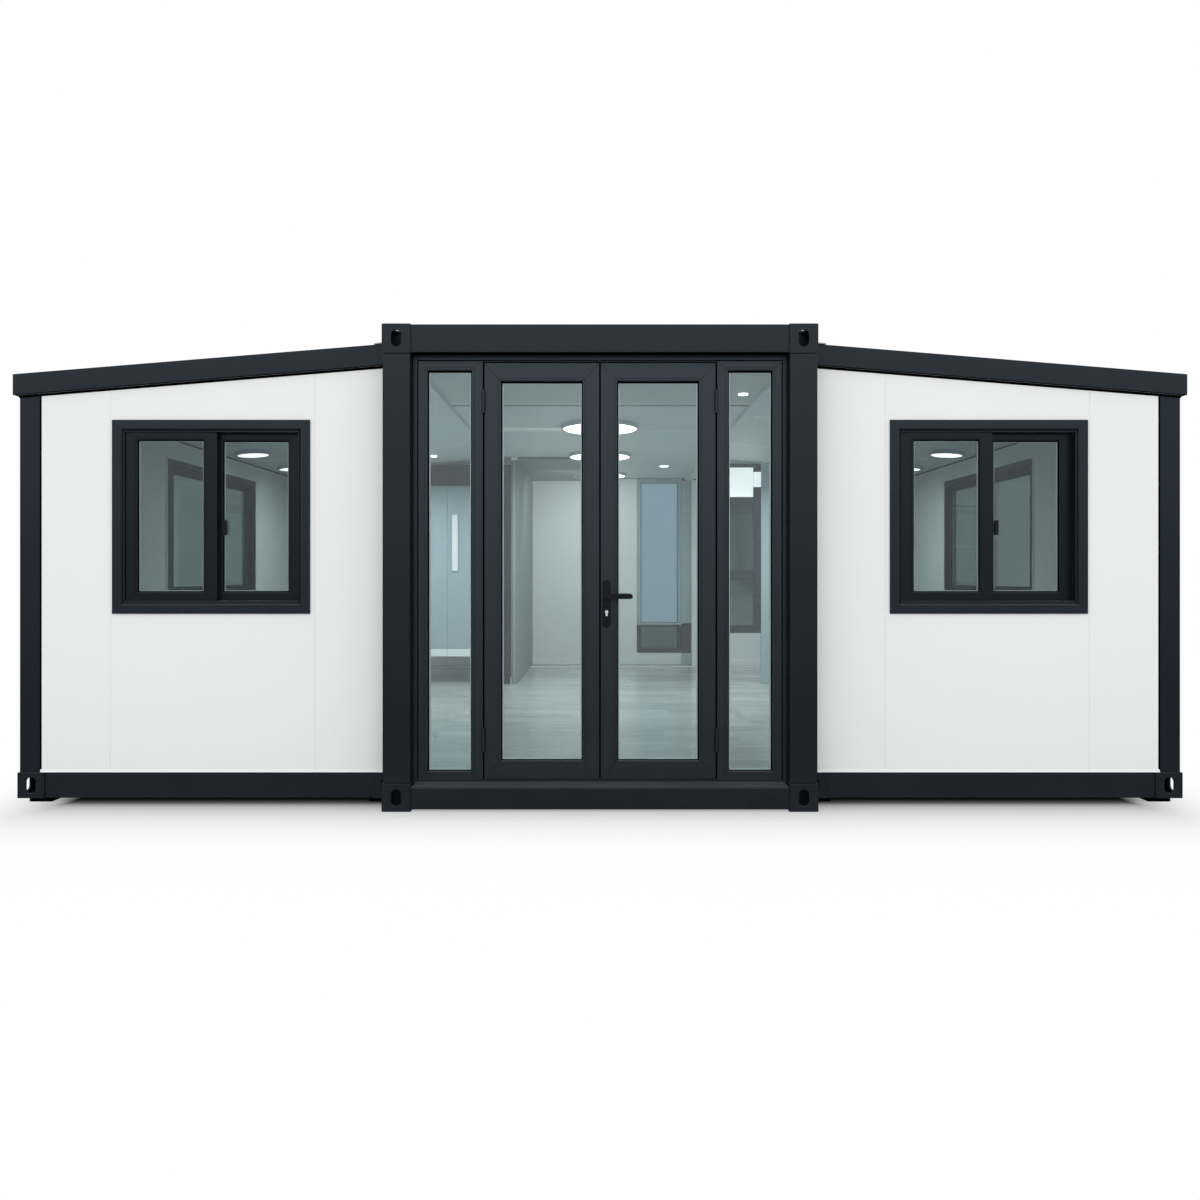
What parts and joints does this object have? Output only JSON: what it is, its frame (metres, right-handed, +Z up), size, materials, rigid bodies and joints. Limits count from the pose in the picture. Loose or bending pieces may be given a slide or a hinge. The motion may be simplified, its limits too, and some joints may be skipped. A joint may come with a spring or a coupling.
{
  "type": "expandable container house",
  "caption": "Fold-out container house: a dark steel centre module with glazed double doors between two white panelled wings with sliding windows.",
  "frame": {"origin": "bottom centre of the house's footprint, at ground level", "axes": "+Z up, the door side faces -Y, +X to the right of someone who faces the doors"},
  "size_m": [6.204, 5.9, 2.48],
  "materials": {
    "frame_paint": "satin anthracite paint on steel",
    "door_aluminium": "fine matt anthracite powder coat",
    "window_aluminium": "fine matt anthracite powder coat",
    "white_panel": "smooth white coil coating",
    "floor_board": "pale grey planks, satin",
    "clear_glass": "clear float glass, slightly blue-green",
    "black_hardware": "matt black powder coat",
    "bare_steel": "satin nickel",
    "seal_rubber": "matt black rubber",
    "foot_rubber": "dense black rubber pad",
    "lamp_diffuser": "opal diffuser, lit"
  },
  "bodies": {
    "house": {"portal_posts": "frame_paint", "top_cross_beams": "frame_paint", "bottom_cross_beams": "frame_paint", "top_castings": "frame_paint", "bottom_castings": "frame_paint", "side_rails": "frame_paint", "centre_floor": "floor_board", "centre_roof": "white_panel", "door_frame": "door_aluminium", "sidelight_frames": "door_aluminium", "sidelight_glass": "clear_glass", "frame_hinges": "black_hardware", "rear_wall": "white_panel", "rear_light_frame": "door_aluminium", "rear_light_glass": "clear_glass", "partition": "white_panel", "wing_base_beams": "frame_paint", "wing_castings": "frame_paint", "wing_feet": "foot_rubber", "wing_floors": "floor_board", "wing_posts": "frame_paint", "left_front_wall": "white_panel", "right_front_wall": "white_panel", "left_rear_wall": "white_panel", "right_rear_wall": "white_panel", "left_side_wall": "white_panel", "right_side_wall": "white_panel", "wall_seals": "seal_rubber", "wing_roofs": "white_panel", "wing_fascias": "frame_paint", "window_frames": "window_aluminium", "outer_sashes": "window_aluminium", "inner_sashes": "window_aluminium", "sash_glass": "clear_glass", "ceiling_lamps": "lamp_diffuser"},
    "left_door": {"left_leaf": "door_aluminium", "left_leaf_glass": "clear_glass", "left_leaf_hinges": "black_hardware"},
    "right_door": {"right_leaf": "door_aluminium", "right_leaf_glass": "clear_glass", "right_leaf_hinges": "black_hardware", "backplates": "black_hardware", "lock_cylinder": "bare_steel"},
    "lever": {"lever_handle": "black_hardware"}
  },
  "joints": [
    {"name": "left_door_hinge", "type": "hinge", "parent": "house", "child": "left_door", "pos_m": [-0.5985, -2.899, 0], "axis": [0, 0, -1], "range_deg": [0, 110]},
    {"name": "right_door_hinge", "type": "hinge", "parent": "house", "child": "right_door", "pos_m": [0.5985, -2.899, 0], "axis": [0, 0, 1], "range_deg": [0, 110]},
    {"name": "lever_turn", "type": "hinge", "parent": "right_door", "child": "lever", "pos_m": [0.034, -2.9, 1.093], "axis": [0, 1, 0], "range_deg": [0, 40], "stiffness_Nm_per_rad": 1, "springref_deg": -20.05}
  ]
}
